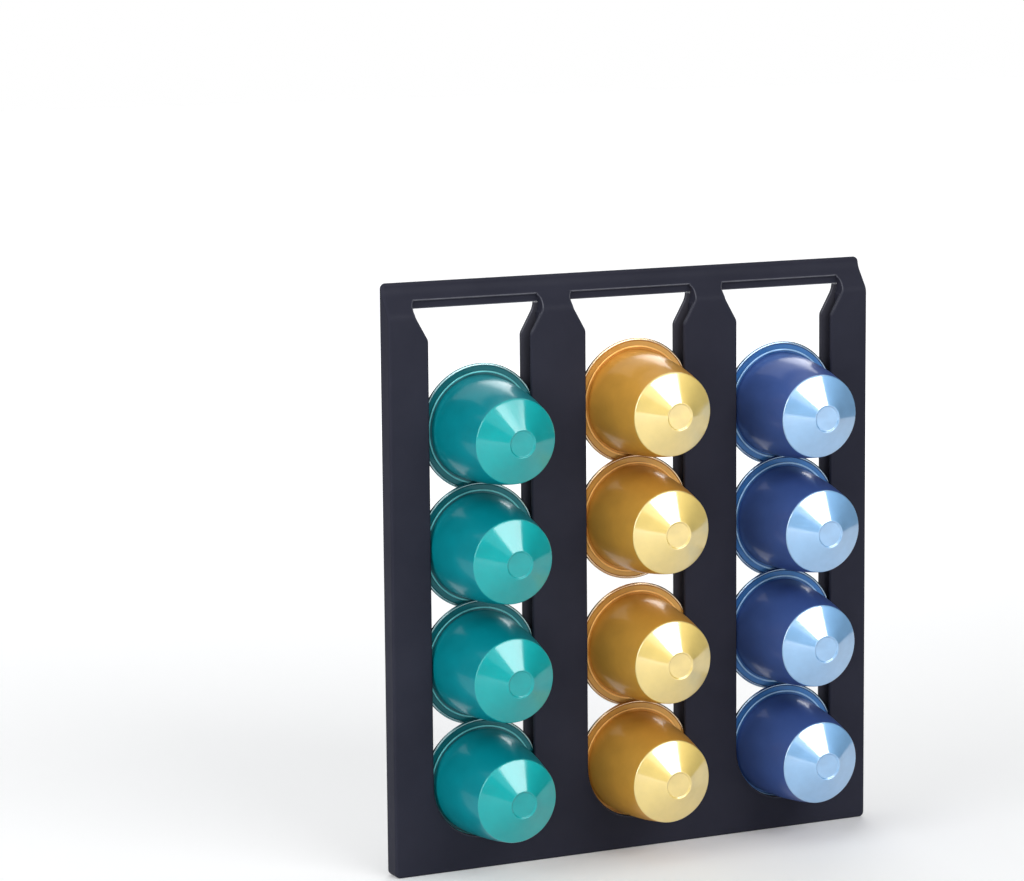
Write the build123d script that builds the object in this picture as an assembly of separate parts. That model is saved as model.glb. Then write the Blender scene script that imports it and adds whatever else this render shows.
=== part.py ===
from build123d import *
import os
from math import atan2, degrees, hypot, radians, sqrt, tan

# Capsule holder: a dark moulded plate with three upright slots, each holding a stack of
# coffee capsules by their rims. X runs across the plate, the front faces -Y and Z is up.
# The origin is the middle of the bottom adhesive strip's back face. Sizes are in millimetres.

# Capsule sizes
rim_diameter = 37.1
rim_thickness = 1.0
bead_step = 0.2
flange_width = 3.4
flange_thickness = 0.4
base_height = 2.2
side_taper = 2.95
side_bulge = 0.55
shoulder_height = 23.8
shoulder_round = 0.5
nose_rise = 4.6
disc_diameter = 7.9
disc_recess = 0.4
shell_wall = 0.3
lid_thickness = 0.2
lid_clearance = 0.1
seal_gap = 0.1
seal_width = 1.1
seal_height = 0.45
seal_round = 0.15
coffee_clearance = 0.2
coffee_headspace = 1.6

# How the capsules stand in their slots
stack_clearance = 0.3
shingle_clearance = 0.4
seat_clearance = 0.3
rim_clearance = 0.32
side_clearance = 0.3
side_play = 0.6
columns = ("teal", "gold", "blue")
capsules_per_column = 4
# Spare height under some of the capsules, counted from the bottom of their column
rest_gaps = {("teal", 1): 0.8, ("gold", 1): 1.0, ("gold", 2): 4.0, ("blue", 1): 1.1}
# Capsules that lie to the left or the right of their channel, counted the same way
lie_left = {("teal", 1), ("teal", 2), ("blue", 1), ("blue", 3)}
lie_right = {("teal", 3), ("gold", 1), ("gold", 3), ("blue", 2)}

# Holder sizes
lip_thickness = 1.0
guide_thickness = 1.0
guide_inset = 1.3
guide_clearance = 0.15
tape_thickness = 1.0
tape_proud = 0.2
tape_inset = 2.0
rib_width = 10.7
outer_rib_width = 8.85
skirt_thickness = 1.5
bottom_margin = 9.6
head_room = 17.0
rail_face_height = 2.4
mouth_clearance = 1.65
mouth_straight = 3.9
mouth_corner = 2.0
flare_height = 7.3
flare_round = 6.0
throat_round = 2.5
ramp_start = 4.0
ramp_height = 6.7
ramp_round = 4.0
top_lip_height = 2.4
top_lip_thickness = 0.8
top_lip_round = 5.0
top_corner = 1.6
bottom_corner = 1.6
edge_round = 0.7
slot_bevel_size = 0.3
slot_bevel_angle = 45
# Largest share of a wall that a round on its edge may take
round_share = 0.9
# How far a cut runs past the face that it opens
cut_overrun = 1.0

# Capsule sizes that follow
rim_radius = rim_diameter / 2
base_radius = rim_radius - flange_width
shoulder_radius = base_radius - side_taper
disc_radius = disc_diameter / 2
nose_height = shoulder_height + nose_rise
bead_radius = rim_thickness / 2
bead_centre = rim_radius - bead_radius
flange_front = bead_radius - bead_step
flange_back = flange_front - flange_thickness
seal_inner = base_radius + seal_gap
seal_front = flange_front + seal_height
nose_slope = nose_rise / (shoulder_radius - disc_radius)

# Each rim tops the next one up like a roof tile, and that sets the pitch and the droop
tile_rise = rim_radius + base_radius + stack_clearance
tile_step = bead_radius + seal_front + shingle_clearance
stack_pitch = hypot(tile_rise, tile_step)
droop = degrees(atan2(tile_step, tile_rise))
droop_slope = tile_step / stack_pitch

# Holder sizes across
slot_radius = base_radius + side_play + side_clearance
channel_radius = rim_radius + side_play + side_clearance
mouth_half = rim_radius + mouth_clearance
column_pitch = 2 * channel_radius + rib_width
outer_column = column_pitch * (len(columns) - 1) / 2
plate_half = outer_column + channel_radius + outer_rib_width
pocket_half = plate_half - skirt_thickness
guide_half = pocket_half - guide_clearance
window_radius = slot_radius - guide_inset
window_mouth_half = mouth_half - guide_inset

# Holder places from front to back
lip_contact = sqrt(rim_radius**2 - slot_radius**2)
channel_depth = rim_thickness + (rim_radius + lip_contact) * droop_slope + 2 * rim_clearance
guide_front = -tape_thickness - guide_thickness
guide_back = -tape_thickness
lip_back = guide_front - channel_depth
front = lip_back - lip_thickness
plate_back = -tape_proud
top_lip_front = plate_back - top_lip_thickness
capsule_y = lip_back + rim_clearance + lip_contact * droop_slope + bead_radius

# Holder places from the bottom up
plate_bottom = -(skirt_thickness + bottom_margin + guide_inset) / 2
pocket_bottom = plate_bottom + skirt_thickness
first_capsule = plate_bottom + bottom_margin + slot_radius
channel_centre = first_capsule - rim_radius - seat_clearance + channel_radius
stack_top = first_capsule + (capsules_per_column - 1) * stack_pitch + rim_radius
rail_bottom = stack_top + head_room
mouth_top = rail_bottom + rail_face_height
flare_end = mouth_top - mouth_straight
flare_start = flare_end - flare_height
ramp_bottom = mouth_top - ramp_start
ramp_top = ramp_bottom + ramp_height
plate_top = ramp_top + top_lip_height

column_x = {name: index * column_pitch - outer_column for index, name in enumerate(columns)}


def upright(outline, x, y_front, y_back):
    """Solid of a front-view outline, moved across to x, from y_front back to y_back."""
    face = Location((x, y_front, 0)) * (Plane.XZ * outline)
    return extrude(face, y_back - y_front, dir=(0, 1, 0))


def nearest(shape, point):
    """The vertex of a sketch nearest to a point."""
    return shape.vertices().sort_by_distance(point)[0]


def funnel(radius, mouth, top):
    """Front-view outline of a slot: round bottom, straight sides and a flared mouth."""
    sides = Polyline(
        (radius, first_capsule),
        (radius, flare_start),
        (mouth, flare_end),
        (mouth, top),
        (-mouth, top),
        (-mouth, flare_end),
        (-radius, flare_start),
        (-radius, first_capsule),
    )
    bottom = ThreePointArc(
        (-radius, first_capsule), (0, first_capsule - radius), (radius, first_capsule)
    )
    outline = make_face([*sides.edges(), bottom])
    throat = [nearest(outline, (side * radius, flare_start)) for side in (-1, 1)]
    outline = fillet(throat, throat_round)
    shoulders = [nearest(outline, (side * mouth, flare_end)) for side in (-1, 1)]
    return fillet(shoulders, flare_round)


def channel_outline():
    """Front-view outline of the space that a stack's rims slide in."""
    sides = Polyline(
        (channel_radius, channel_centre),
        (channel_radius, mouth_top),
        (-channel_radius, mouth_top),
        (-channel_radius, channel_centre),
    )
    bottom = ThreePointArc(
        (-channel_radius, channel_centre),
        (0, channel_centre - channel_radius),
        (channel_radius, channel_centre),
    )
    return make_face([*sides.edges(), bottom])


def rectangle(x_low, x_high, z_low, z_high):
    """Front-view rectangle between two corners."""
    middle = ((x_low + x_high) / 2, (z_low + z_high) / 2)
    return Pos(*middle) * Rectangle(x_high - x_low, z_high - z_low)


def plate_blank():
    """The plate before its slots: flat front, ramp and top lip, with rounded outer edges."""
    profile = make_face(
        Polyline(
            (front, plate_bottom),
            (front, ramp_bottom),
            (top_lip_front, ramp_top),
            (top_lip_front, plate_top),
            (plate_back, plate_top),
            (plate_back, plate_bottom),
            close=True,
        )
    )
    profile = fillet(nearest(profile, (front, ramp_bottom)), ramp_round)
    profile = fillet(nearest(profile, (top_lip_front, ramp_top)), top_lip_round)
    blank = extrude(Plane.YZ * profile, plate_half, both=True)
    upright_corners = blank.edges().filter_by(Axis.Y)
    blank = fillet(upright_corners.group_by(Axis.Z)[-1], top_corner)
    blank = fillet(blank.edges().filter_by(Axis.Y).group_by(Axis.Z)[0], bottom_corner)
    return fillet(outer_front_edges(blank), min(edge_round, round_share * top_lip_thickness))


def outer_front_edges(blank):
    """The closed run of edges round the front of the plate blank."""
    bottom = blank.edges().group_by(Axis.Z)[0]
    top = blank.edges().group_by(Axis.Z)[-1]
    edges = ShapeList()
    for edge in blank.edges():
        at_back = edge.bounding_box().min.Y > plate_back - top_lip_thickness / 2
        runs_across = abs(edge.tangent_at(0.5).X) > round_share
        bend = runs_across and edge not in bottom + top
        runs_back = abs(edge.tangent_at(0.5).Y) > round_share and edge.length < -front
        if not (at_back or bend or runs_back):
            edges.append(edge)
    return edges


def slot_bevel():
    """Cutter that bevels a slot's edge on the flat front."""
    outline = funnel(slot_radius + slot_bevel_size, mouth_half + slot_bevel_size, mouth_top)
    face = Location((0, front, 0)) * (Plane.XZ * outline)
    depth = slot_bevel_size / tan(radians(slot_bevel_angle))
    return extrude(face, depth, dir=(0, 1, 0), taper=slot_bevel_angle)


def faceplate():
    """Front moulding: skirt, ramp, lips round the slots, rim channels and a pocket behind."""
    plate = plate_blank()
    pocket = rectangle(-pocket_half, pocket_half, pocket_bottom, rail_bottom)
    plate -= upright(pocket, 0, guide_front, plate_back + cut_overrun)
    slot = funnel(slot_radius, mouth_half, mouth_top)
    corners = [nearest(slot, (side * mouth_half, mouth_top)) for side in (-1, 1)]
    slot = fillet(corners, mouth_corner)
    for x in column_x.values():
        plate -= upright(slot, x, front - cut_overrun, guide_front)
        plate -= upright(channel_outline(), x, lip_back, guide_front)
        plate -= Pos(x, 0, 0) * slot_bevel()
    return plate


def rear_guide():
    """Comb behind the ribs whose teeth keep the rims in their channels from behind."""
    blank = rectangle(
        -guide_half, guide_half, pocket_bottom + guide_clearance, rail_bottom - guide_clearance
    )
    guide = upright(blank, 0, guide_front, guide_back)
    window = funnel(window_radius, window_mouth_half, mouth_top)
    for x in column_x.values():
        guide -= upright(window, x, guide_front - cut_overrun, guide_back + cut_overrun)
    return guide


def adhesive_strips():
    """Foam strips on the guide's back: one under the slots and one up each tooth."""
    window_bottom = first_capsule - window_radius
    strips = {
        "bottom": (
            -outer_column - slot_radius,
            outer_column + slot_radius,
            pocket_bottom + tape_inset,
            window_bottom - tape_inset,
        )
    }
    outer_edge = guide_half - tape_inset
    inner_edge = outer_column + window_radius + tape_inset
    tooth_edge = column_pitch - window_radius - tape_inset
    spans = {
        "left": (-outer_edge, -inner_edge),
        "inner_left": (-tooth_edge, -window_radius - tape_inset),
        "inner_right": (window_radius + tape_inset, tooth_edge),
        "right": (inner_edge, outer_edge),
    }
    for name, span in spans.items():
        strips[name] = (*span, first_capsule, flare_start - tape_inset)
    return {
        f"adhesive_strip_{name}": upright(rectangle(*corners), 0, guide_back, 0)
        for name, corners in strips.items()
    }


def side_arc(inset):
    """Side of the cup, from its straight base up to its shoulder, drawn in by inset."""
    low = (base_radius - inset, base_height)
    high = (shoulder_radius - inset, shoulder_height - inset)
    middle = ((low[0] + high[0]) / 2 + side_bulge, (low[1] + high[1]) / 2)
    return ThreePointArc(low, middle, high)


def capsule_shell():
    """Deep-drawn cup, nose up the Z axis, with a beaded rim at Z = 0."""
    wall_rise = shell_wall * hypot(1, nose_slope)
    inner_shoulder = shoulder_radius - shell_wall
    inner_disc = nose_height - disc_recess - shell_wall
    cone_top = nose_height - wall_rise
    inner_disc_radius = disc_radius + (cone_top - inner_disc) / nose_slope
    cone_foot = cone_top - nose_slope * (inner_shoulder - disc_radius)
    inner_side = side_arc(shell_wall)
    outer = Polyline(
        (shoulder_radius, shoulder_height),
        (disc_radius, nose_height),
        (disc_radius - disc_recess, nose_height - disc_recess),
        (0, nose_height - disc_recess),
        (0, inner_disc),
        (inner_disc_radius, inner_disc),
        (inner_shoulder, cone_foot),
        inner_side @ 1,
    )
    flange = Polyline(
        inner_side @ 0,
        (base_radius - shell_wall, flange_back),
        (bead_centre, flange_back),
        (bead_centre, flange_front),
        (base_radius, flange_front),
        (base_radius, base_height),
    )
    profile = make_face([side_arc(0), *outer.edges(), inner_side, *flange.edges()])
    profile = fillet(nearest(profile, (shoulder_radius, shoulder_height)), shoulder_round)
    return revolve(Plane.XZ * profile, Axis.Z) + Torus(bead_centre, bead_radius)


def foil_lid():
    """Membrane that closes the cup, inside the rim's bead."""
    radius = bead_centre - bead_radius - lid_clearance
    middle = flange_back - lid_thickness / 2
    return Pos(0, 0, middle) * Cylinder(radius, lid_thickness)


def seal_ring():
    """Sealing bead that lies on the flange round the foot of the cup."""
    middle = (seal_inner + seal_width / 2, flange_front + seal_height / 2)
    section = Pos(*middle) * Rectangle(seal_width, seal_height)
    section = fillet(section.vertices().group_by(Axis.Y)[-1], seal_round)
    return revolve(Plane.XZ * section, Axis.Z)


def coffee_charge():
    """Ground coffee that fills the cup from the foil to just under its shoulder."""
    inset = shell_wall + coffee_clearance
    side = side_arc(inset)
    top = shoulder_height - coffee_headspace
    outline = Polyline(
        side @ 1,
        (0, shoulder_height - inset),
        (0, flange_back),
        (base_radius - inset, flange_back),
        side @ 0,
    )
    body = revolve(Plane.XZ * make_face([side, *outline.edges()]), Axis.Z)
    level = top - flange_back
    return body & Pos(0, 0, flange_back + level / 2) * Cylinder(base_radius, level)


def capsule_places():
    """Where each capsule stands at rest, named from the top of its column."""
    places = {}
    for column in columns:
        gap = 0
        for index in range(capsules_per_column):
            spot = (column, index)
            gap += rest_gaps.get(spot, 0)
            side = (spot in lie_right) - (spot in lie_left)
            x = column_x[column] + side * side_play
            height = first_capsule + index * stack_pitch + gap
            name = f"{column}_capsule_{capsules_per_column - index}"
            places[name] = Location((x, capsule_y, height), (90 + droop, 0, 0))
    return places


def capsule_pieces():
    """The pieces of one capsule, as they lie with the nose up the Z axis."""
    return {
        "shell": capsule_shell(),
        "seal_ring": seal_ring(),
        "foil_lid": foil_lid(),
        "coffee": coffee_charge(),
    }


nodes = {"faceplate": faceplate(), "rear_guide": rear_guide(), **adhesive_strips()}
pieces = capsule_pieces()
for capsule, place in capsule_places().items():
    for piece, shape in pieces.items():
        nodes[f"{capsule}_{piece}"] = place * shape

os.makedirs("parts", exist_ok=True)
for node, shape in nodes.items():
    export_step(shape, f"parts/{node}.step")

print(f"stack pitch {stack_pitch:.3f}, droop {droop:.3f} degrees")
print(f"plate {2 * plate_half:.2f} wide, {plate_top - plate_bottom:.2f} high, {-front:.2f} deep")
print(f"channel depth {channel_depth:.3f}, mouth from {flare_start:.2f} to {mouth_top:.2f}")
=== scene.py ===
from math import atan2, cos, hypot, pi, radians, sin, sqrt

import bmesh
import bpy
from mathutils import Matrix, Vector


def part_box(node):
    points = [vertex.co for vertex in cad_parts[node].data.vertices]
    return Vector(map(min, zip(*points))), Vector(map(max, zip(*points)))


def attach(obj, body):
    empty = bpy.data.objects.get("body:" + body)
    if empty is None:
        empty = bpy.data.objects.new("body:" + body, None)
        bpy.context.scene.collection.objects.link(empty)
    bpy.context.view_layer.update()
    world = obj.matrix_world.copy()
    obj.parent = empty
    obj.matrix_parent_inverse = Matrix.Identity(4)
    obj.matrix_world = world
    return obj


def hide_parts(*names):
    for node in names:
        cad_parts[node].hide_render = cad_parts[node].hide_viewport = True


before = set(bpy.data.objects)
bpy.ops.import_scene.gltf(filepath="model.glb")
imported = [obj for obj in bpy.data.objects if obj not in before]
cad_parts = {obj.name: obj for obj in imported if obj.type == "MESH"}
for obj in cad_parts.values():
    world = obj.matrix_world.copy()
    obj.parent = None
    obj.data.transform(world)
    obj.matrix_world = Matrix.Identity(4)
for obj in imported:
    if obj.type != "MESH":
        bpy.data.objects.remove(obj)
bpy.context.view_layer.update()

# Looks of the capsule holder: the dark plate with its guide and foam strips, and the capsules
# that stand in it. Sizes are in metres, in the same frame as the solids.

mm = 0.001

# Capsule sizes
rim_radius = 18.55 * mm
bead_radius = 0.5 * mm
bead_step = 0.2 * mm
flange_width = 3.4 * mm
flange_thickness = 0.4 * mm
foot_round = 0.35 * mm
base_height = 2.2 * mm
side_taper = 2.95 * mm
side_bulge = 0.55 * mm
shoulder_height = 23.8 * mm
shoulder_round = 0.6 * mm
nose_rise = 4.6 * mm
disc_radius = 3.95 * mm
disc_recess = 0.4 * mm
disc_round = 0.3 * mm
shell_wall = 0.3 * mm
seal_gap = 0.1 * mm
seal_width = 1.1 * mm
seal_height = 0.45 * mm
seal_land = 0.25 * mm
seal_bead = 0.5 * mm
seal_round = 0.17 * mm
stack_clearance = 0.3 * mm
shingle_clearance = 0.4 * mm

# Lid sizes
lid_radius = 17.4 * mm
lid_thickness = 0.2 * mm
lid_sink = 0.12 * mm
lid_flatness = 6  # power that keeps the sunk middle flat
lid_crease = 0.14 * mm  # height before it fades out
lid_creases = 11
crease_twist = 60  # radians of wave from the middle to the seal

# Mesh fineness
lathe_segments = 160
side_points = 14
round_points = 5
bead_points = 18
lid_rings = 26
long_stretch = 2.0 * mm
end_support = 0.2 * mm
axis_reach = 0.0001 * mm
sharp_angle = radians(38)

# Sizes that follow
base_radius = rim_radius - flange_width
shoulder_radius = base_radius - side_taper
nose_height = shoulder_height + nose_rise
bead_centre = rim_radius - bead_radius
flange_front = bead_radius - bead_step
flange_back = flange_front - flange_thickness
seal_inner = base_radius + seal_gap
seal_outer = seal_inner + seal_width
seal_step = seal_outer - seal_bead
tile_rise = rim_radius + base_radius + stack_clearance
tile_step = bead_radius + flange_front + seal_height + shingle_clearance
droop = atan2(tile_step, tile_rise)

columns = ("teal", "gold", "blue")
capsules_per_column = 4

# Colours, as linear red, green and blue
nose_colours = {
    "teal": (0.001, 0.335, 0.342),
    "gold": (0.81, 0.61, 0.180),
    "blue": (0.22, 0.45, 0.740),
}
# Painted shade: the sides are the noses' lacquer, painted darker for the light they lose and the dark
# plate they mirror
side_colours = {
    "teal": (0.001, 0.24, 0.285),
    "gold": (0.63, 0.315, 0.050),
    "blue": (0.054, 0.106, 0.330),
}
# Painted shade: the flanges are the same lacquer, painted darker for the plate's shadow on them and the
# dark things they mirror
flange_colours = {
    "teal": (0.005, 0.12, 0.14),
    "gold": (0.58, 0.31, 0.075),
    "blue": (0.045, 0.165, 0.41),
}
rim_edge_colours = {
    "teal": (0.27, 0.42, 0.44),
    "gold": (0.70, 0.52, 0.33),
    "blue": (0.31, 0.43, 0.57),
}
# Painted shade: the seal's low land, painted darker than the flange it lies on
seal_land_colours = {
    "teal": (0.003, 0.085, 0.10),
    "gold": (0.45, 0.19, 0.022),
    "blue": (0.018, 0.085, 0.25),
}
# Painted highlight: the seal's raised bead, painted paler for the light line along it
seal_bead_colours = {
    "teal": (0.10, 0.42, 0.44),
    "gold": (0.82, 0.46, 0.13),
    "blue": (0.30, 0.50, 0.72),
}
plastic_dark = (0.0215, 0.0222, 0.0335)
plastic_light = (0.0260, 0.0268, 0.0398)
# Pale grey painted on the plastic's rounded edges that face up or run level: a painted highlight
plastic_highlight = (0.190, 0.195, 0.225)
# The guide's colours are the plate's plastic painted paler: painted light against the shade in its
# channels
guide_dark = (0.0380, 0.0375, 0.0490)
guide_light = (0.0450, 0.0445, 0.0570)
foil_dark = (0.70, 0.70, 0.71)
foil_light = (0.79, 0.79, 0.80)
tape_dark = (0.73, 0.72, 0.68)
tape_light = (0.81, 0.80, 0.76)
coffee_dark = (0.016, 0.007, 0.003)
coffee_light = (0.075, 0.035, 0.016)

# Shine of the lacquered metal, and the weight, refraction index and roughness of its clear lacquer
nose_shines = {
    "teal": {"roughness": 0.52, "metal": 0.18, "coat": 1.0, "refraction": 1.52, "gloss": 0.12},
    "gold": {"roughness": 0.52, "metal": 0.36, "coat": 1.0, "refraction": 2.3, "gloss": 0.12},
    "blue": {"roughness": 0.52, "metal": 0.36, "coat": 1.0, "refraction": 2.5, "gloss": 0.12},
}
side_shine = {"roughness": 0.45, "metal": 0.25, "coat": 0.4, "refraction": 1.5, "gloss": 0.16}
flange_shine = {"roughness": 0.40, "metal": 0.4, "coat": 0.4, "refraction": 1.5, "gloss": 0.09}
rim_edge_shine = {"roughness": 0.25, "metal": 1.0, "coat": 0.2, "refraction": 1.5, "gloss": 0.09}

# Roughness of the plastics, and how far it and the metal's roughness vary
plate_roughness = 0.46
guide_roughness = 0.5
plastic_spread = 0.06
metal_spread = 0.05

# How much darker the metal's clouds are, and how much paler the seal's are
metal_clouds = 0.88
seal_gain = 1.25
seal_lift = 0.02

# How far the plastic's edges are rounded in the shading, which is where the painted highlight lies on
# those that face up or run level, and how much smoother they are there
edge_rounding = 0.65 * mm
edge_polish = 0.55

# Camera at the photograph's viewing angle, with its lens and sensor in millimetres
camera_place = Vector((-0.47517, -0.91518, 0.26687))
camera_heading = radians(25.581)
camera_dip = radians(8.396)
camera_roll = radians(-0.530)
camera_lens = 125.41
camera_sensor = 36.0

# Floor, room light and cards
floor_size = 8.0
floor_white = (0.86, 0.86, 0.86)
floor_clouds = 0.985
floor_lift_near = 0.12
floor_lift_far = 0.54
floor_near = 0.15
floor_far = 1.5
ambient_colour = (0.96, 0.98, 1.0)
ambient_strength = 0.585
card_clouds = 0.9
light_target = Vector((0, -0.02, 0.08))


# Node helpers


def new_material(name):
    """A material with its node tree's shader, ready for links."""
    material = bpy.data.materials.new(name)
    material.use_nodes = True
    shader = material.node_tree.nodes["Principled BSDF"]
    return material, material.node_tree, shader


def add_node(tree, kind, **settings):
    """A node of one kind, with its properties or unlinked inputs set by name."""
    node = tree.nodes.new(kind)
    for name, value in settings.items():
        if hasattr(node, name):
            setattr(node, name, value)
        else:
            node.inputs[name.replace("_", " ").title()].default_value = value
    return node


def noise(tree, coords, scale, detail=3.0, roughness=0.55):
    """Noise over the given coordinates."""
    node = add_node(tree, "ShaderNodeTexNoise", scale=scale, detail=detail, roughness=roughness)
    tree.links.new(coords, node.inputs["Vector"])
    return node.outputs["Fac"]


def cells(tree, coords, scale):
    """Distance from the middle of the nearest cell, where cells fill the given coordinates."""
    node = add_node(tree, "ShaderNodeTexVoronoi", scale=scale)
    tree.links.new(coords, node.inputs["Vector"])
    return node.outputs["Distance"]


def ramp(tree, value, low, high, start=0.3, end=0.7):
    """A value mapped to colours from low at start to high at end, by default where noise mostly lies."""
    node = add_node(tree, "ShaderNodeValToRGB")
    first, last = node.color_ramp.elements
    first.position, last.position = start, end
    first.color, last.color = (*low, 1), (*high, 1)
    tree.links.new(value, node.inputs["Fac"])
    return node.outputs["Color"]


def span(tree, value, low, high):
    """A value from 0 to 1 mapped to a number between low and high."""
    node = add_node(tree, "ShaderNodeMapRange")
    node.inputs["To Min"].default_value = low
    node.inputs["To Max"].default_value = high
    tree.links.new(value, node.inputs["Value"])
    return node.outputs["Result"]


def between(tree, value, start, end):
    """Zero at one value, one at another, and even in between."""
    result = span(tree, value, low=0.0, high=1.0)
    result.node.inputs["From Min"].default_value = start
    result.node.inputs["From Max"].default_value = end
    return result


def combined(tree, operation, first, second):
    """Two values put together by a math node."""
    node = add_node(tree, "ShaderNodeMath", operation=operation)
    tree.links.new(first, node.inputs[0])
    tree.links.new(second, node.inputs[1])
    return node.outputs["Value"]


def product(tree, first, second):
    """Two values multiplied."""
    return combined(tree, "MULTIPLY", first, second)


def larger(tree, first, second):
    """The larger of two values."""
    return combined(tree, "MAXIMUM", first, second)


def length(tree, vector):
    """How long a vector is."""
    node = add_node(tree, "ShaderNodeVectorMath", operation="LENGTH")
    tree.links.new(vector, node.inputs[0])
    return node.outputs["Value"]


def split(tree, vector):
    """The outputs X, Y and Z of a vector."""
    node = add_node(tree, "ShaderNodeSeparateXYZ")
    tree.links.new(vector, node.inputs["Vector"])
    return node.outputs


def joined(tree, first, second):
    """A vector from its first two parts."""
    node = add_node(tree, "ShaderNodeCombineXYZ")
    tree.links.new(first, node.inputs["X"])
    tree.links.new(second, node.inputs["Y"])
    return node.outputs["Vector"]


def bump(tree, height, strength, depth, under=None):
    """A bump of the given depth, laid over another normal if there is one."""
    node = add_node(tree, "ShaderNodeBump", strength=strength, distance=depth)
    tree.links.new(height, node.inputs["Height"])
    if under is not None:
        tree.links.new(under, node.inputs["Normal"])
    return node.outputs["Normal"]


def blend(tree, share, first, second):
    """One colour giving way to another, which is plain."""
    node = add_node(tree, "ShaderNodeMix", data_type="RGBA")
    # The node keeps its colour sockets behind those for numbers and vectors
    factor, under, over = node.inputs[0], node.inputs[6], node.inputs[7]
    tree.links.new(share, factor)
    tree.links.new(first, under)
    over.default_value = (*second, 1)
    return node.outputs[2]


def dimmed(colour, share):
    """A colour at a share of its brightness."""
    return tuple(share * part for part in colour)


def object_coords(tree):
    """Coordinates in the piece's own frame, in metres."""
    return add_node(tree, "ShaderNodeTexCoord").outputs["Object"]


def turned_coords(tree):
    """Radius and height about a capsule's axis, so that noise runs in rings round it."""
    parts = split(tree, object_coords(tree))
    radius = length(tree, joined(tree, parts["X"], parts["Y"]))
    return joined(tree, radius, parts["Z"])


def edge_turn(tree, rounded_normal):
    """Zero on flat faces, one where an edge is rounded over, by the cosine of the normal's turn."""
    face = add_node(tree, "ShaderNodeNewGeometry")
    turn = add_node(tree, "ShaderNodeVectorMath", operation="DOT_PRODUCT")
    tree.links.new(rounded_normal, turn.inputs[0])
    tree.links.new(face.outputs["Normal"], turn.inputs[1])
    return between(tree, turn.outputs["Value"], start=0.995, end=0.90)


def highlight_facing(tree, normal):
    """One where a normal points well up or has no lean to the left or right, zero elsewhere: where edges
    get a painted highlight.
    """
    parts = split(tree, normal)
    lean = add_node(tree, "ShaderNodeMath", operation="ABSOLUTE")
    tree.links.new(parts["X"], lean.inputs[0])
    upward = between(tree, parts["Z"], start=0.05, end=0.45)
    level = between(tree, lean.outputs["Value"], start=0.12, end=0.04)
    return larger(tree, upward, level)


# Materials


def moulded_plastic(name, dark, light, roughness):
    """Charcoal plastic with a moulded grain, faint clouds, and a painted highlight, pale grey, on
    rounded edges that face up or run level.
    """
    material, tree, shader = new_material(name)
    coords = object_coords(tree)
    clouds = noise(tree, coords, scale=45.0, detail=4.0)
    grain = noise(tree, coords, scale=5200.0, detail=2.0)
    patches = noise(tree, coords, scale=320.0)
    edge = add_node(tree, "ShaderNodeBevel", samples=8, radius=edge_rounding).outputs["Normal"]
    turn = edge_turn(tree, edge)
    # Painted highlight: pale grey laid in patches on rounded edges that face up or run level
    lit_edges = product(tree, turn, highlight_facing(tree, edge))
    highlight_share = product(tree, lit_edges, span(tree, patches, low=0.35, high=1.0))
    tone = ramp(tree, clouds, dark, light, start=0.35, end=0.68)
    tree.links.new(blend(tree, highlight_share, tone, plastic_highlight), shader.inputs["Base Color"])
    matt = span(tree, patches, low=roughness - plastic_spread, high=roughness + plastic_spread)
    polish = span(tree, turn, low=1.0, high=edge_polish)
    tree.links.new(product(tree, matt, polish), shader.inputs["Roughness"])
    fine = bump(tree, grain, strength=0.22, depth=0.06 * mm, under=edge)
    soft = bump(tree, patches, strength=0.10, depth=0.1 * mm, under=fine)
    tree.links.new(soft, shader.inputs["Normal"])
    shader.inputs["Specular IOR Level"].default_value = 0.035
    return material


def lacquered_metal(name, colour, roughness, metal, coat, refraction, gloss):
    """Tinted lacquer over drawn aluminium, with fine turning marks round the axis."""
    material, tree, shader = new_material(name)
    marks = noise(tree, turned_coords(tree), scale=5200.0, detail=4.0, roughness=0.7)
    clouds = noise(tree, object_coords(tree), scale=160.0)
    tone = ramp(tree, clouds, dimmed(colour, metal_clouds), colour)
    tree.links.new(tone, shader.inputs["Base Color"])
    rough = span(tree, marks, low=roughness - metal_spread, high=roughness + metal_spread)
    tree.links.new(rough, shader.inputs["Roughness"])
    drawn = bump(tree, marks, strength=0.08, depth=0.04 * mm)
    dents = bump(tree, clouds, strength=0.08, depth=0.4 * mm, under=drawn)
    tree.links.new(dents, shader.inputs["Normal"])
    tangent = add_node(tree, "ShaderNodeTangent", direction_type="RADIAL", axis="Z")
    tree.links.new(tangent.outputs["Tangent"], shader.inputs["Tangent"])
    shader.inputs["Metallic"].default_value = metal
    shader.inputs["Anisotropic"].default_value = 0.5
    shader.inputs["Specular IOR Level"].default_value = 0.05
    shader.inputs["Coat Weight"].default_value = coat
    shader.inputs["Coat Roughness"].default_value = gloss
    shader.inputs["Coat IOR"].default_value = refraction
    return material


def foil(name):
    """Bright rolled foil with faint rolling lines and soft creases."""
    material, tree, shader = new_material(name)
    coords = object_coords(tree)
    stretch = add_node(tree, "ShaderNodeMapping", scale=(6000.0, 90.0, 1.0))
    tree.links.new(coords, stretch.inputs["Vector"])
    lines = noise(tree, stretch.outputs["Vector"], scale=1.0)
    clouds = noise(tree, coords, scale=220.0, detail=4.0)
    tree.links.new(ramp(tree, lines, foil_dark, foil_light), shader.inputs["Base Color"])
    tree.links.new(span(tree, lines, low=0.20, high=0.34), shader.inputs["Roughness"])
    creases = bump(tree, clouds, strength=0.14, depth=0.4 * mm)
    rolled = bump(tree, lines, strength=0.08, depth=0.03 * mm, under=creases)
    tree.links.new(rolled, shader.inputs["Normal"])
    shader.inputs["Metallic"].default_value = 1.0
    return material


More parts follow.
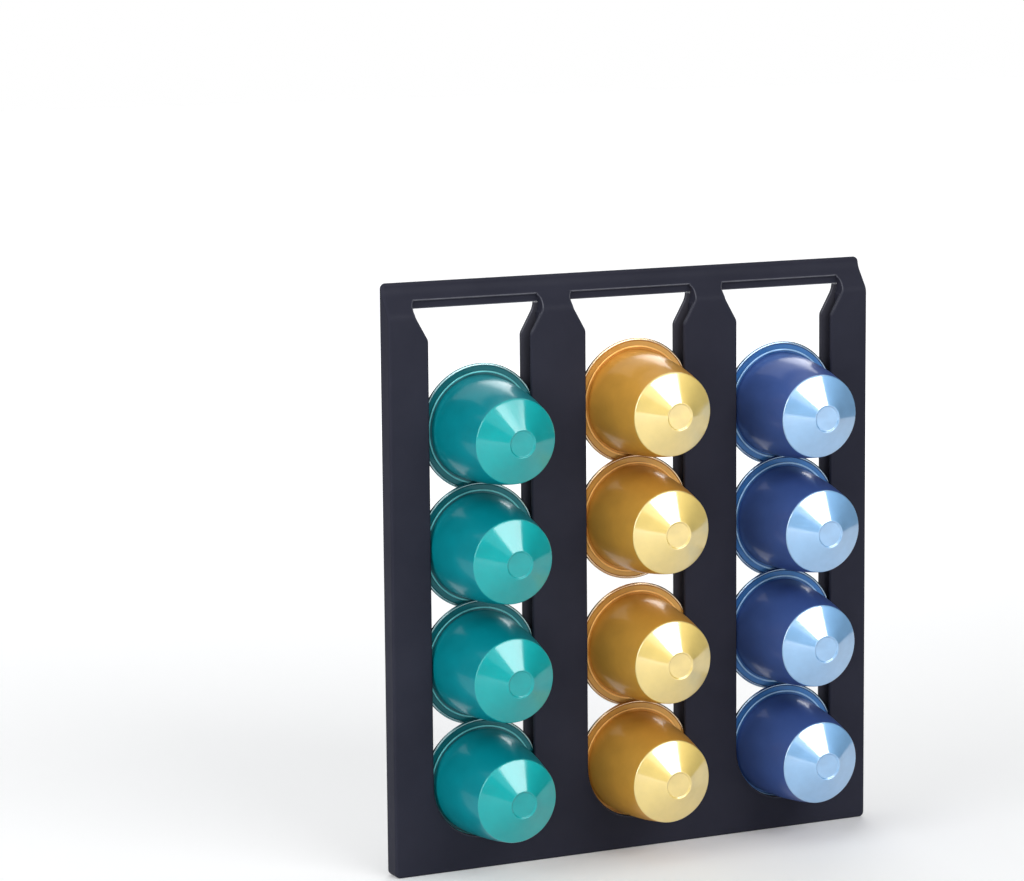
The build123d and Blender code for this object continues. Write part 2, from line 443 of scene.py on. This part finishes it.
def silicone(name, colour):
    """Soft satin sealing bead, tinted by the lacquer under it."""
    material, tree, shader = new_material(name)
    coords = object_coords(tree)
    clouds = noise(tree, coords, scale=300.0)
    pale = tuple(min(1.0, seal_gain * part + seal_lift) for part in colour)
    tree.links.new(ramp(tree, clouds, colour, pale), shader.inputs["Base Color"])
    tree.links.new(span(tree, clouds, low=0.26, high=0.40), shader.inputs["Roughness"])
    skin = bump(tree, noise(tree, coords, scale=2600.0), strength=0.12, depth=0.05 * mm)
    tree.links.new(skin, shader.inputs["Normal"])
    shader.inputs["Metallic"].default_value = 0.35
    return material


def foam_tape(name):
    """Pale closed-cell foam with small pores and a thin film of adhesive."""
    material, tree, shader = new_material(name)
    coords = object_coords(tree)
    clouds = noise(tree, coords, scale=110.0, detail=4.0)
    tree.links.new(ramp(tree, clouds, tape_dark, tape_light), shader.inputs["Base Color"])
    tree.links.new(span(tree, clouds, low=0.55, high=0.8), shader.inputs["Roughness"])
    pores = bump(tree, cells(tree, coords, scale=2400.0), strength=0.45, depth=0.2 * mm)
    tree.links.new(pores, shader.inputs["Normal"])
    return material


def ground_coffee(name):
    """Dark roasted grounds."""
    material, tree, shader = new_material(name)
    coords = object_coords(tree)
    grains = cells(tree, coords, scale=1500.0)
    specks = noise(tree, coords, scale=1400.0)
    tree.links.new(ramp(tree, specks, coffee_dark, coffee_light), shader.inputs["Base Color"])
    tree.links.new(span(tree, grains, low=0.6, high=0.9), shader.inputs["Roughness"])
    rough = bump(tree, grains, strength=0.9, depth=0.5 * mm)
    tree.links.new(rough, shader.inputs["Normal"])
    return material


# Mesh helpers


def rounded(corners):
    """Points of an outline whose corners, given as radius, height and round, become arcs."""
    points = [Vector(corners[0][:2])]
    for before, corner, after in zip(corners, corners[1:], corners[2:]):
        centre = Vector(corner[:2])
        to_before = (Vector(before[:2]) - centre).normalized()
        to_after = (Vector(after[:2]) - centre).normalized()
        half = to_before.angle(to_after) / 2
        if corner[2] == 0:
            points.append(centre)
            continue
        middle = centre + (to_before + to_after).normalized() * (corner[2] / sin(half))
        start = centre + to_before * (corner[2] * cos(half) / sin(half)) - middle
        sweep = pi - 2 * half
        if to_before.x * to_after.y - to_before.y * to_after.x > 0:
            sweep = -sweep
        for step in range(round_points + 1):
            points.append(middle + Matrix.Rotation(sweep * step / round_points, 2) @ start)
    points.append(Vector(corners[-1][:2]))
    return points


def bow(low, high, bulge):
    """Corners along a side that swells by bulge between two points."""
    corners = []
    for step in range(1, side_points):
        share = step / side_points
        radius = low[0] + (high[0] - low[0]) * share + 4 * bulge * share * (1 - share)
        corners.append((radius, low[1] + (high[1] - low[1]) * share, 0))
    return corners


def bead_arc(start, end):
    """Corners round the rim's rolled bead, between two heights, by way of its outer edge."""
    first = pi - atan2(start, sqrt(bead_radius**2 - start**2))
    last = -pi - atan2(end, sqrt(bead_radius**2 - end**2))
    corners = []
    for step in range(bead_points + 1):
        angle = first + (last - first) * step / bead_points
        corners.append((bead_centre + bead_radius * cos(angle), bead_radius * sin(angle), 0))
    return corners


def supported(outline):
    """The outline with points added near the ends of long stretches, so that these shade flat."""
    points = [outline[0]]
    for start, end in zip(outline, outline[1:]):
        run = end - start
        if run.length > long_stretch:
            points.append(start + run.normalized() * end_support)
            points.append(end - run.normalized() * end_support)
        points.append(end)
    return points


def shell_outline():
    """Closed outline of a capsule's shell from the middle of its nose round to the inside."""
    slope = nose_rise / (shoulder_radius - disc_radius)
    wall_rise = shell_wall * hypot(1, slope)
    inner_disc = nose_height - disc_recess - shell_wall
    cone_top = nose_height - wall_rise
    inner_shoulder = shoulder_radius - shell_wall
    inner_base = base_radius - shell_wall
    cone_foot = cone_top - slope * (inner_shoulder - disc_radius)
    floor_edge = disc_radius + (cone_top - inner_disc) / slope
    outer = [
        (0, nose_height - disc_recess, 0),
        (disc_radius - disc_recess, nose_height - disc_recess, disc_round),
        (disc_radius, nose_height, disc_round),
        (shoulder_radius, shoulder_height, shoulder_round),
        *bow((shoulder_radius, shoulder_height), (base_radius, base_height), side_bulge),
        (base_radius, base_height, 0),
        (base_radius, flange_front, foot_round),
    ]
    inner = [
        (inner_base, flange_back, 0),
        (inner_base, base_height, 0),
        *bow((inner_base, base_height), (inner_shoulder, shoulder_height - shell_wall), side_bulge),
        (inner_shoulder, cone_foot, 0),
        (floor_edge, inner_disc, 0),
        (0, inner_disc, 0),
    ]
    return supported(rounded(outer + bead_arc(flange_front, flange_back) + inner))


def seal_outline():
    """Closed outline of the sealing ring: a low land with a raised bead at its outer edge."""
    top = flange_front + seal_height
    land = flange_front + seal_land
    corners = [
        (seal_inner, flange_front, 0),
        (seal_outer, flange_front, 0),
        (seal_outer, top, seal_round),
        (seal_step, top, seal_round),
        (seal_step, land, 0),
        (seal_inner, land, 0),
    ]
    return rounded(corners)


def lid_outline():
    """Closed outline of the foil lid: flat where it is sealed on, a little sunk inside."""
    front, back = flange_back, flange_back - lid_thickness
    seal_edge = base_radius - shell_wall
    outer = [Vector((0, front)), Vector((seal_edge, front)), Vector((lid_radius, front))]
    inner = [Vector((lid_radius, back)), Vector((base_radius, back))]
    for step in range(lid_rings + 1):
        share = step / lid_rings
        radius = seal_edge * (1 - share)
        sink = lid_sink * (1 - (radius / seal_edge) ** lid_flatness)
        inner.append(Vector((radius, back + sink)))
    return outer + inner


def lathe(name, outline, materials):
    """Smooth mesh of an outline turned about Z, a closed ring where it keeps off the axis."""
    mesh = bmesh.new()
    rings = []
    for point in outline:
        if point.x < axis_reach:
            rings.append([mesh.verts.new((0, 0, point.y))])
            continue
        ring = []
        for step in range(lathe_segments):
            angle = 2 * pi * step / lathe_segments
            ring.append(mesh.verts.new((point.x * cos(angle), point.x * sin(angle), point.y)))
        rings.append(ring)
    if len(rings[0]) > 1:
        rings.append(rings[0])
    for above, below in zip(rings, rings[1:]):
        for step in range(lathe_segments):
            after = (step + 1) % lathe_segments
            corners = [above[step % len(above)], below[step % len(below)]]
            if len(below) > 1:
                corners.append(below[after])
            if len(above) > 1:
                corners.append(above[after])
            mesh.faces.new(corners)
    bmesh.ops.recalc_face_normals(mesh, faces=mesh.faces)
    data = bpy.data.meshes.new(name)
    mesh.to_mesh(data)
    mesh.free()
    data.shade_smooth()
    data.set_sharp_from_angle(angle=sharp_angle)
    for material in materials:
        data.materials.append(material)
    return data


def shell_mesh(colour, materials):
    """Shell with the materials of its nose, side, flange and rim edge, in that order."""
    data = lathe(f"{colour}_shell", shell_outline(), materials)
    nose, side, flange, rim_edge = range(len(materials))
    for face in data.polygons:
        radius = hypot(face.center.x, face.center.y)
        if face.center.z > shoulder_height - shoulder_round / 2:
            face.material_index = nose
        elif radius > bead_centre - bead_radius:
            face.material_index = rim_edge
        elif radius > base_radius + foot_round / 2:
            face.material_index = flange
        else:
            face.material_index = side
    return data


def seal_mesh(colour, materials):
    """Sealing ring with the materials of its land and its raised bead, in that order."""
    data = lathe(f"{colour}_seal", seal_outline(), materials)
    land, bead = range(len(materials))
    for face in data.polygons:
        raised = face.center.z > flange_front + seal_land + seal_round / 2
        face.material_index = bead if raised else land
    return data


def lid_mesh(material):
    """Foil lid with soft radial creases in its free middle that fade out at its seal."""
    data = lathe("foil_lid", lid_outline(), [material])
    for vertex in data.vertices:
        share = hypot(vertex.co.x, vertex.co.y) / base_radius
        if vertex.co.z > flange_back - lid_thickness / 2 or share > 1:
            continue
        angle = atan2(vertex.co.y, vertex.co.x)
        fade = share**2 * (1 - share)
        vertex.co.z += lid_crease * fade * sin(lid_creases * angle + crease_twist * share)
    return data


def placed(name, data):
    """A new object in the scene."""
    made = bpy.data.objects.new(name, data)
    bpy.context.scene.collection.objects.link(made)
    return made


def capsule_frame(node):
    """Where a capsule's rim lies and how it leans, worked out from its shell's box."""
    low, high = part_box(node)
    depth = high.y - bead_centre * sin(droop) - bead_radius
    place = Matrix.Translation(((low.x + high.x) / 2, depth, (low.z + high.z) / 2))
    return place @ Matrix.Rotation(pi / 2 + droop, 4, "X")


def piece(name, data, place, body, node):
    """A piece that stands for a node, in place, and rides on its body."""
    made = placed(name, data)
    made.matrix_world = place
    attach(made, body)
    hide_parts(node)


def dress(node, material):
    """Give a node's own solid a finish."""
    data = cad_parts[node].data
    data.materials.clear()
    data.materials.append(material)


# The holder

tape = foam_tape("foam_tape")
dress("faceplate", moulded_plastic("holder_plastic", plastic_dark, plastic_light, plate_roughness))
# The guide takes the paler colours: painted light against the shade of its channels
dress("rear_guide", moulded_plastic("guide_plastic", guide_dark, guide_light, guide_roughness))
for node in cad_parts:
    if node.startswith("adhesive_strip"):
        dress(node, tape)

# The capsules

lid_data = lid_mesh(foil("lid_foil"))
coffee = ground_coffee("ground_coffee")
for colour in columns:
    # The side and flange finishes carry painted shade
    finishes = [
        lacquered_metal(f"{colour}_nose", nose_colours[colour], **nose_shines[colour]),
        lacquered_metal(f"{colour}_side", side_colours[colour], **side_shine),
        lacquered_metal(f"{colour}_flange", flange_colours[colour], **flange_shine),
        lacquered_metal(f"{colour}_rim_edge", rim_edge_colours[colour], **rim_edge_shine),
    ]
    shell_data = shell_mesh(colour, finishes)
    # The seal's land carries painted shade and its bead a painted highlight
    seals = [
        silicone(f"{colour}_seal_land", seal_land_colours[colour]),
        silicone(f"{colour}_seal_bead", seal_bead_colours[colour]),
    ]
    seal_data = seal_mesh(colour, seals)
    for number in range(1, capsules_per_column + 1):
        body = f"{colour}_capsule_{number}"
        place = capsule_frame(f"{body}_shell")
        piece(f"{body}_cup", shell_data, place, body, f"{body}_shell")
        piece(f"{body}_membrane", lid_data, place, body, f"{body}_foil_lid")
        piece(f"{body}_seal", seal_data, place, body, f"{body}_seal_ring")
        dress(f"{body}_coffee", coffee)

# Floor, light and camera


def background_rays(tree):
    """One for rays that see the background: straight from the camera, mirrored or let through."""
    path = add_node(tree, "ShaderNodeLightPath")
    mirrored = larger(tree, path.outputs["Is Camera Ray"], path.outputs["Is Glossy Ray"])
    return larger(tree, mirrored, path.outputs["Is Transmission Ray"])


def square(name, side, material):
    """Flat square about its own middle."""
    mesh = bmesh.new()
    bmesh.ops.create_grid(mesh, x_segments=1, y_segments=1, size=side / 2)
    data = bpy.data.meshes.new(name)
    mesh.to_mesh(data)
    mesh.free()
    data.materials.append(material)
    return placed(name, data)


def pale_floor():
    """Plain pale floor under the plate's bottom edge, which whitens with distance."""
    material, tree, shader = new_material("floor")
    coords = object_coords(tree)
    clouds = noise(tree, coords, scale=2.0)
    tone = ramp(tree, clouds, dimmed(floor_white, floor_clouds), floor_white, start=0.0, end=1.0)
    tree.links.new(tone, shader.inputs["Base Color"])
    shader.inputs["Roughness"].default_value = 0.7
    shader.inputs["Specular IOR Level"].default_value = 0.2
    shader.inputs["Emission Color"].default_value = (1, 1, 1, 1)
    away = between(tree, length(tree, coords), start=floor_near, end=floor_far)
    lift = span(tree, away, low=floor_lift_near, high=floor_lift_far)
    tree.links.new(product(tree, background_rays(tree), lift), shader.inputs["Emission Strength"])
    floor = square("floor", floor_size, material)
    floor.location.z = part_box("faceplate")[0].z


def studio_world():
    """White to the eye and in reflections, with soft grey light from all round."""
    world = bpy.data.worlds.new("studio")
    bpy.context.scene.world = world
    world.use_nodes = True
    tree = world.node_tree
    tree.nodes.clear()
    ambient = add_node(tree, "ShaderNodeBackground")
    ambient.inputs["Color"].default_value = (*ambient_colour, 1)
    ambient.inputs["Strength"].default_value = ambient_strength
    white = add_node(tree, "ShaderNodeBackground")
    white.inputs["Color"].default_value = (1, 1, 1, 1)
    white.inputs["Strength"].default_value = 1.0
    mix = add_node(tree, "ShaderNodeMixShader")
    tree.links.new(background_rays(tree), mix.inputs["Fac"])
    tree.links.new(ambient.outputs["Background"], mix.inputs[1])
    tree.links.new(white.outputs["Background"], mix.inputs[2])
    output = add_node(tree, "ShaderNodeOutputWorld")
    tree.links.new(mix.outputs["Shader"], output.inputs["Surface"])


def softbox(name, place, width, height, power, mirrored=True, lights=True):
    """Rectangular lamp that faces the object, shows in reflections, lights matt surfaces, or both."""
    lamp = bpy.data.lights.new(name, "AREA")
    lamp.shape = "RECTANGLE"
    lamp.size, lamp.size_y = width, height
    lamp.energy = power
    made = placed(name, lamp)
    made.location = place
    made.rotation_euler = (light_target - Vector(place)).to_track_quat("-Z", "Y").to_euler()
    made.visible_glossy = mirrored
    made.visible_diffuse = lights


def card(name, heading, distance, width, height, grey, shades=False):
    """Grey card standing on the floor, seen only in reflections, which may also keep soft light off."""
    material, tree, shader = new_material(name)
    clouds = noise(tree, object_coords(tree), scale=3.0)
    plain = (grey, grey, grey)
    tone = ramp(tree, clouds, dimmed(plain, card_clouds), plain, start=0.0, end=1.0)
    tree.links.new(tone, shader.inputs["Base Color"])
    shader.inputs["Roughness"].default_value = 0.9
    made = square(name, 1, material)
    made.scale = (width, height, 1)
    made.location = (distance * sin(heading), -distance * cos(heading), height / 2)
    made.rotation_euler = (pi / 2, 0, heading)
    made.visible_camera = False
    made.visible_diffuse = shades
    made.visible_shadow = False


def camera():
    """Camera at the photograph's viewing angle."""
    lens = bpy.data.cameras.new("camera")
    lens.lens = camera_lens
    lens.sensor_width = camera_sensor
    made = placed("camera", lens)
    turn = Matrix.Rotation(-camera_heading, 4, "Z")
    turn = turn @ Matrix.Rotation(pi / 2 - camera_dip, 4, "X")
    turn = turn @ Matrix.Rotation(camera_roll, 4, "Z")
    made.matrix_world = Matrix.Translation(camera_place) @ turn
    bpy.context.scene.camera = made


pale_floor()
studio_world()
softbox("key_softbox", place=(0.28, -1.00, 0.72), width=0.88, height=0.42, power=5.4)
softbox("key_glint", place=(0.277, -0.99, 0.714), width=0.87, height=0.415, power=4.5, lights=False)
softbox("left_softbox", place=(-1.30, -0.42, 0.55), width=0.9, height=0.9, power=10.5)
softbox("low_softbox", place=(-0.45, -1.15, 0.12), width=1.2, height=0.5, power=3.6, mirrored=False)
softbox("back_softbox", place=(0.55, 0.95, 0.62), width=0.8, height=0.5, power=4.0)
card("right_card", heading=radians(88), distance=0.62, width=1.3, height=0.75, grey=0.06, shades=True)
card("left_card", heading=radians(-40), distance=1.4, width=1.35, height=0.62, grey=0.22)
card("back_left_card", heading=radians(-135), distance=0.8, width=1.2, height=0.6, grey=0.10)
camera()
bpy.context.scene.view_settings.view_transform = "Standard"
